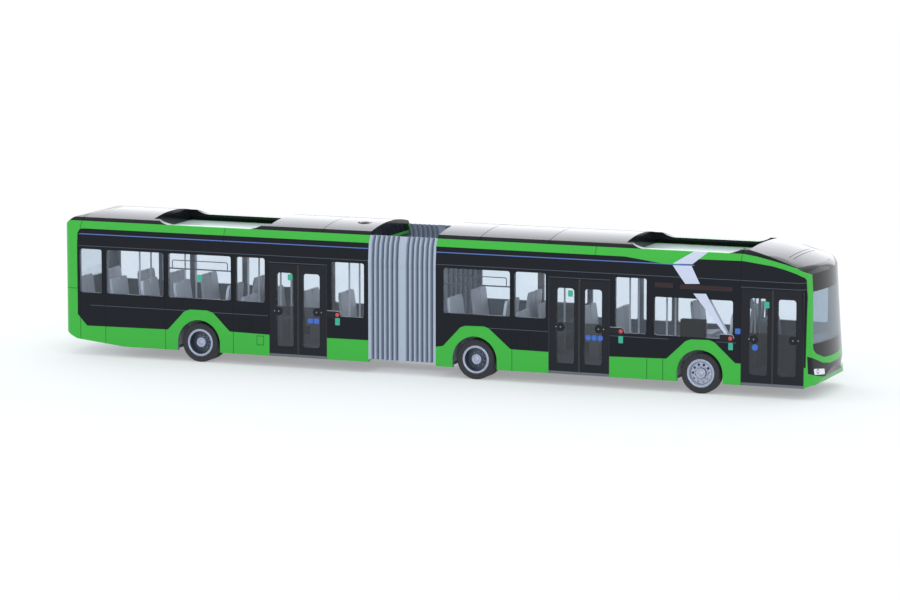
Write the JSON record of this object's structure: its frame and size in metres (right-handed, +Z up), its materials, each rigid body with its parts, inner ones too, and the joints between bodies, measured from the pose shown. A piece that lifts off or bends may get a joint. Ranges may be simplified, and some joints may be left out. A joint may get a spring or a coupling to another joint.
{
  "type": "scale model articulated bus",
  "caption": "Scale model of a green articulated city bus: hollow glazed front and rear sections on rolling axles, joined by a floor pivot inside a pleated bellows.",
  "frame": {"origin": "centre of the bounding box on the floor the tyres stand on", "axes": "+X to the front of the bus, +Y to its left (street) side, +Z up; the doors are on the -Y side"},
  "size_m": [0.2074, 0.0294, 0.0376],
  "materials": {
    "green_plastic": "gloss moulded ABS",
    "black_plastic": "gloss moulded ABS",
    "clear_plastic": "clear polystyrene",
    "grey_plastic": "satin moulded ABS",
    "seat_plastic": "satin moulded ABS",
    "bellows_plastic": "soft moulded plastic",
    "silver_plastic": "silver painted ABS",
    "tyre_rubber": "matt",
    "axle_steel": "drawn wire",
    "lamp_red": "clear red polystyrene",
    "rail_plastic": "satin"
  },
  "bodies": {
    "front": {"front_shell": "green_plastic", "windscreen": "clear_plastic", "front_scuttle": "black_plastic", "front_mask": "black_plastic", "headlamps": "clear_plastic", "dashboard": "grey_plastic", "steering_wheel": "black_plastic", "driver_seat": "seat_plastic", "cab_partition": "grey_plastic", "front_roof_fairing": "black_plastic", "front_glazing_right": "clear_plastic", "front_glazing_left": "clear_plastic", "front_door": "black_plastic", "middle_door": "black_plastic", "front_door_panes": "clear_plastic", "front_chassis": "grey_plastic", "pivot_pin": "grey_plastic", "front_seats": "seat_plastic", "front_handrails": "rail_plastic", "bellows": "bellows_plastic"},
    "rear": {"rear_shell": "green_plastic", "rear_window": "clear_plastic", "tail_lamps": "lamp_red", "rear_roof_fairing": "black_plastic", "rear_glazing_right": "clear_plastic", "rear_glazing_left": "clear_plastic", "rear_door": "black_plastic", "rear_door_panes": "clear_plastic", "rear_chassis": "grey_plastic", "rear_seats": "seat_plastic", "rear_handrails": "rail_plastic"},
    "front_axle": {"front_tyres": "tyre_rubber", "front_rims": "silver_plastic", "front_axle_pin": "axle_steel"},
    "middle_axle": {"middle_tyres": "tyre_rubber", "middle_rims": "silver_plastic", "middle_axle_pin": "axle_steel"},
    "rear_axle": {"rear_tyres": "tyre_rubber", "rear_rims": "silver_plastic", "rear_axle_pin": "axle_steel"}
  },
  "joints": [
    {"name": "articulation", "type": "hinge", "parent": "front", "child": "rear", "pos_m": [-0.00645, 0, 0.0045], "axis": [0, 0, 1], "range_deg": [-35, 35], "deforming": ["bellows"]},
    {"name": "front_axle_spin", "type": "hinge", "parent": "front", "child": "front_axle", "pos_m": [0.0732, 0, 0.0051], "axis": [0, 1, 0], "continuous": true},
    {"name": "middle_axle_spin", "type": "hinge", "parent": "front", "child": "middle_axle", "pos_m": [0.0134, 0, 0.0051], "axis": [0, 1, 0], "continuous": true},
    {"name": "rear_axle_spin", "type": "hinge", "parent": "rear", "child": "rear_axle", "pos_m": [-0.0634, 0, 0.0051], "axis": [0, 1, 0], "continuous": true}
  ]
}
